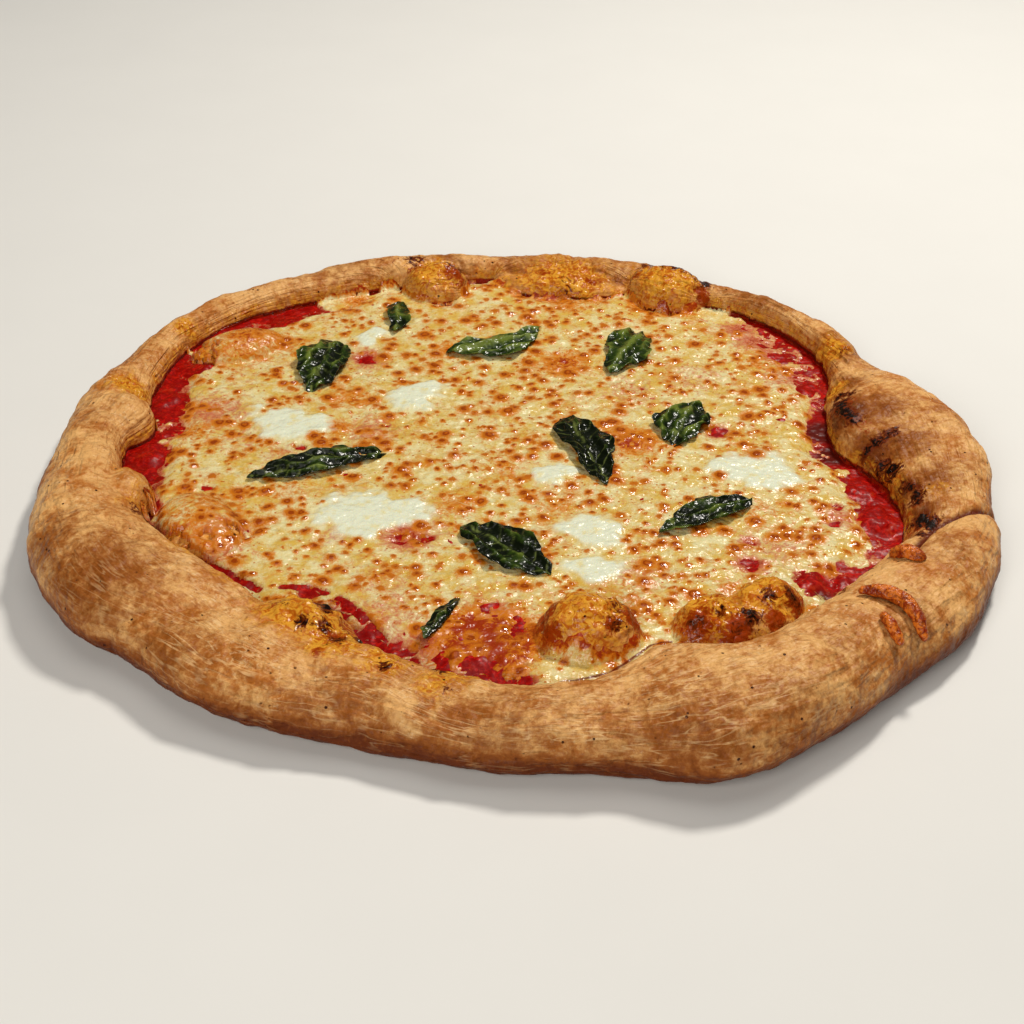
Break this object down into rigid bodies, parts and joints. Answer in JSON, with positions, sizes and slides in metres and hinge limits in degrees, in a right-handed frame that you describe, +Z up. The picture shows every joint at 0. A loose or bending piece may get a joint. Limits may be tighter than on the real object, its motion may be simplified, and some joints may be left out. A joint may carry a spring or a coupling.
{
  "type": "margherita pizza",
  "caption": "Whole round pizza with a fat uneven baked rim, tomato sauce, melted browned cheese, pools of fresh mozzarella and basil leaves.",
  "frame": {"origin": "middle of the crust's box, on the flat underside", "axes": "+Z up out of the topping, -Y towards the side shown nearest, +X to the right of that view"},
  "size_m": [0.3842, 0.3754, 0.0341],
  "materials": {
    "crust": "baked dough, tan with brown and pale patches, matte to satin",
    "sauce": "wet tomato sauce, deep red",
    "cheese": "melted cheese, cream with golden halos and brown blisters, oily",
    "fresh_mozzarella": "melted fresh mozzarella, white and moist",
    "basil": "wilted basil, dark green and oily",
    "browned_cheese": "browned cheese, orange-brown and oily"
  },
  "bodies": {
    "root": {"crust": "crust", "sauce": "sauce", "cheese": "cheese", "fresh_mozzarella_1": "fresh_mozzarella", "fresh_mozzarella_2": "fresh_mozzarella", "fresh_mozzarella_3": "fresh_mozzarella", "fresh_mozzarella_4": "fresh_mozzarella", "fresh_mozzarella_5": "fresh_mozzarella", "fresh_mozzarella_6": "fresh_mozzarella", "fresh_mozzarella_7": "fresh_mozzarella", "fresh_mozzarella_8": "fresh_mozzarella", "basil_1": "basil", "basil_2": "basil", "basil_3": "basil", "basil_4": "basil", "basil_5": "basil", "basil_6": "basil", "basil_7": "basil", "basil_8": "basil", "basil_9": "basil", "basil_10": "basil", "browned_cheese_1": "browned_cheese", "browned_cheese_2": "browned_cheese", "browned_cheese_3": "browned_cheese"}
  },
  "joints": []
}
